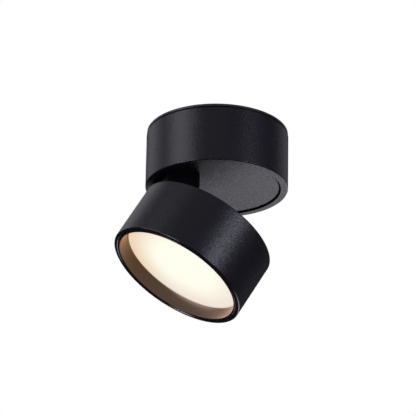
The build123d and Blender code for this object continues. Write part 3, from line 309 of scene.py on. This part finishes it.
def powder_coat(name, colour=COAT_BLACK, rim=False):
    """Fine-textured black powder coat: a close grain whose small facets catch the light. With
    rim, the head's front rim is smooth and glossier."""
    made, graph, shader = material(name)
    graph.put(shader.inputs["Base Color"], patchy(graph, colour, COAT_PALER, COAT_PATCH, detail=3.0))
    fine = graph.noise(COAT_TEXTURE, *COAT_NOISE)
    rough = graph.wander(fine, COAT_ROUGHNESS, COAT_UNEVEN)
    peel = graph.math("MULTIPLY", graph.cells(COAT_PEEL).outputs["Distance"], PEEL_SHARE)
    normal = graph.bump(graph.math("ADD", fine, peel), COAT_RELIEF,
                        Normal=graph.facets(FACET_SIZE, FACET_LEAN))
    if rim:
        front = graph.front_rim()
        smoother = graph.math("MULTIPLY", front, COAT_ROUGHNESS - RIM_ROUGHNESS)
        rough = graph.math("SUBTRACT", rough, smoother)
        normal = graph.vector("NORMALIZE", graph.mix(front, normal, graph.flat()))
    graph.put(shader.inputs["Roughness"], rough)
    graph.put(shader.inputs["Normal"], normal)
    return made


def painted(name, colour, roughness, grain_size, grain_depth, paler=PAINT_PALER, rim=False):
    """Smooth paint or moulded plastic: a faint change of shade and an even fine grain, given in
    mm. With rim, the grain ends at the head's front rim."""
    made, graph, shader = material(name)
    graph.put(shader.inputs["Base Color"], patchy(graph, colour, paler, PAINT_PATCH, detail=2.0))
    fine = graph.noise(grain_size * MM, *GRAIN_NOISE)
    strength = graph.math("SUBTRACT", 1.0, graph.front_rim()) if rim else 1.0
    graph.put(shader.inputs["Roughness"], graph.wander(fine, roughness, PAINT_UNEVEN))
    graph.put(shader.inputs["Normal"], graph.bump(fine, grain_depth * MM, Strength=strength))
    return made


def metal(name, *look):
    """Bare or plated metal with cloudy shade, uneven gloss and a fine skin."""
    made = painted(name, *look, METAL_PALER)
    made.node_tree.nodes["Principled BSDF"].inputs["Metallic"].default_value = 1.0
    return made


def shaded_black(name):
    """Dull black plastic of the hinge, darker than the coat's black as painted shade for the deep
    shade between the canopy and the head.
    """
    made = powder_coat(name, HINGE_BLACK_AND_SHADE)
    shader = made.node_tree.nodes["Principled BSDF"]
    shader.inputs["Specular IOR Level"].default_value = HINGE_SPECULAR
    return made


def sleeves(name, axis, above, below, stripe=0.0):
    """Soft plastic on a pair of leads, each its own colour, told apart by where it lies along an
    axis. A stripe above 0 winds the second colour round the first instead."""
    made, graph, shader = material(name)
    if stripe:
        bands = graph.node("ShaderNodeTexWave", {"bands_direction": "DIAGONAL"},
                           Vector=graph.place(), Scale=1 / stripe)
        share = graph.span(bands.outputs["Fac"], *STRIPE_EDGE)
    else:
        lies = graph.node("ShaderNodeSeparateXYZ", Vector=graph.place()).outputs[axis]
        share = graph.math("LESS_THAN", lies, 0.0)
    colour = graph.mix(share, rgba(*above), rgba(*below))
    worn = graph.mix(graph.noise(WEAR_SIZE, detail=3.0), grey(WEAR_DULL), grey(1))
    graph.put(shader.inputs["Base Color"], graph.mix(1.0, colour, worn, "MULTIPLY"))
    fine = graph.noise(LEAD_SKIN, *GRAIN_NOISE)
    graph.put(shader.inputs["Roughness"], graph.math("ADD", fine, LEAD_ROUGHNESS))
    graph.put(shader.inputs["Normal"], graph.bump(fine, LEAD_RELIEF))
    return made


def lit_diffuser():
    """Opal acrylic over warm LEDs: even in the middle, warmer and dimmer towards its edge."""
    made, graph, shader = material("lit_diffuser")
    offset = graph.vector("SUBTRACT", graph.place(), GLOW_CENTRE)
    radius = graph.vector("LENGTH", offset)
    along = graph.vector("DOT_PRODUCT", offset, AWAY)

    def change(value, span, *to):
        return graph.span(value, span[0] * DIFFUSER_RADIUS, span[1] * DIFFUSER_RADIUS, *to)

    edge = change(radius, EDGE_SPAN)
    far = change(along, FAR_SPAN)
    seam = graph.span(radius, DIFFUSER_RADIUS - SEAM_WIDTH, DIFFUSER_RADIUS - SEAM_WIDTH / 2)
    seam = graph.math("MULTIPLY", seam, change(along, SEAM_SPAN, 1.0, SEAM_FAR))
    glow = graph.mix(edge, rgba(*GLOW_MIDDLE), graph.mix(far, rgba(*GLOW_NEAR), rgba(*GLOW_FAR)))
    glow = graph.mix(seam, glow, rgba(*SEAM_COLOUR))
    patch = change(graph.vector("DOT_PRODUCT", offset, PATCH_SIDE), PATCH_SPAN)
    spill = graph.mix(far, rgba(*SPILL_NEAR), rgba(*SPILL_FAR))
    spill = graph.mix(patch, spill, rgba(*SPILL_PATCH))
    seen = graph.node("ShaderNodeLightPath").outputs["Is Camera Ray"]
    graph.put(shader.inputs["Base Color"], rgba(*ACRYLIC))
    graph.put(shader.inputs["Roughness"], ACRYLIC_ROUGHNESS)
    graph.put(shader.inputs["Emission Color"], graph.mix(seen, spill, glow))
    shader.inputs["Emission Strength"].default_value = 1.0
    return made


def dress_nodes():
    """Give each node of the frame the finish of its run of leads or of its slot."""
    leads = {name: sleeves(name, *row) for name, row in LEADS.items()}
    finishes = {
        "canopy": powder_coat("canopy"),
        "head": powder_coat("head", rim=True),
        "turntable": powder_coat("turntable"),
        "hinge": shaded_black("hinge"),
        "trim": painted("trim", *TRIM, rim=True),
        "diffuser": lit_diffuser(),
    }
    finishes.update({name: painted(name, *row) for name, row in PAINTS.items()})
    finishes.update({name: metal(name, *row) for name, row in METALS.items()})
    for name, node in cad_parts.items():
        slot = node.data.materials[0].name.split(".")[0]
        node.data.materials[0] = leads.get(name) or finishes[slot]


# ---- Floor, world and lamps --------------------------------------------------------------

def gloss_backdrop(graph, toward):
    """What gloss sees of the studio in a direction: dark, with soft white panels."""
    total = DARK_SIDE
    for azimuth, elevation, inner, outer, brightness in GLOSS_PANELS:
        facing = graph.vector("DOT_PRODUCT", toward,
                              direction(math.radians(azimuth), math.radians(elevation)))
        panel = graph.span(facing, math.cos(math.radians(outer)), math.cos(math.radians(inner)),
                           0.0, brightness)
        total = graph.math("ADD", total, panel)
    return graph.mix(total, grey(0), rgba(*STUDIO_TINT))


def make_floor():
    """A pale floor that takes the object's shadow. Gloss sees the studio's panels in it."""
    mesh = bpy.data.meshes.new("floor")
    corners = [(x * FLOOR_HALF, y * FLOOR_HALF, -FLOOR_DROP)
               for x, y in ((-1, -1), (1, -1), (1, 1), (-1, 1))]
    mesh.from_pydata(corners, [], [(0, 1, 2, 3)])
    floor = bpy.data.objects.new("floor", mesh)
    bpy.context.scene.collection.objects.link(floor)
    made, graph, shader = material("floor")
    dark, pale = (grey(shade) for shade in FLOOR_SHADES)
    graph.put(shader.inputs["Base Color"], graph.mix(graph.noise(FLOOR_PATCH), dark, pale))
    graph.put(shader.inputs["Roughness"], FLOOR_ROUGHNESS)
    path = graph.node("ShaderNodeLightPath")
    graph.put(shader.inputs["Emission Color"], pale)
    graph.put(shader.inputs["Emission Strength"],
              graph.math("MULTIPLY", path.outputs["Is Camera Ray"], FLOOR_LIFT))
    toward = graph.vector("NORMALIZE", graph.vector("SUBTRACT", graph.place(), CAMERA_TARGET))
    panels = graph.node("ShaderNodeEmission", Color=gloss_backdrop(graph, toward))
    seen = graph.node("ShaderNodeMixShader")
    for socket, value in zip(seen.inputs, (path.outputs["Is Glossy Ray"], shader, panels)):
        graph.put(socket, value)
    graph.put(made.node_tree.nodes["Material Output"].inputs["Surface"], seen)
    mesh.materials.append(made)


def make_world():
    """White to the camera, the panels to gloss, and an even light to all else."""
    world = bpy.data.worlds.new("studio")
    bpy.context.scene.world = world
    world.use_nodes = True
    graph = Graph(world.node_tree)
    gloss = gloss_backdrop(graph, graph.node("ShaderNodeTexCoord").outputs["Generated"])
    path = graph.node("ShaderNodeLightPath")
    backdrop = graph.math("MAXIMUM", path.outputs["Is Camera Ray"],
                          path.outputs["Is Transmission Ray"])
    level = graph.mix(path.outputs["Is Glossy Ray"], grey(AMBIENT), gloss)
    colour = graph.mix(backdrop, level, grey(1))
    background = graph.node("ShaderNodeBackground", Color=colour, Strength=1.0)
    graph.node("ShaderNodeOutputWorld", Surface=background)


def softbox(name, azimuth, elevation, distance, width, height, radiance, colour):
    """A rectangular lamp that faces the object, given by how bright its face is."""
    data = bpy.data.lights.new(name, "AREA")
    data.shape = "RECTANGLE"
    data.size, data.size_y = width, height
    data.energy = radiance * math.pi * width * height
    data.color = colour
    lamp = bpy.data.objects.new(name, data)
    back = direction(math.radians(azimuth), math.radians(elevation))
    lamp.location = CAMERA_TARGET + back * distance
    lamp.rotation_mode = "QUATERNION"
    lamp.rotation_quaternion = back.to_track_quat("Z", "Y")
    lamp.visible_camera = False
    bpy.context.scene.collection.objects.link(lamp)


make_camera()
dress_nodes()
make_floor()
make_world()
for lamp_name, row in SOFTBOXES.items():
    softbox(lamp_name, *row)
bpy.context.scene.view_settings.view_transform = "Standard"
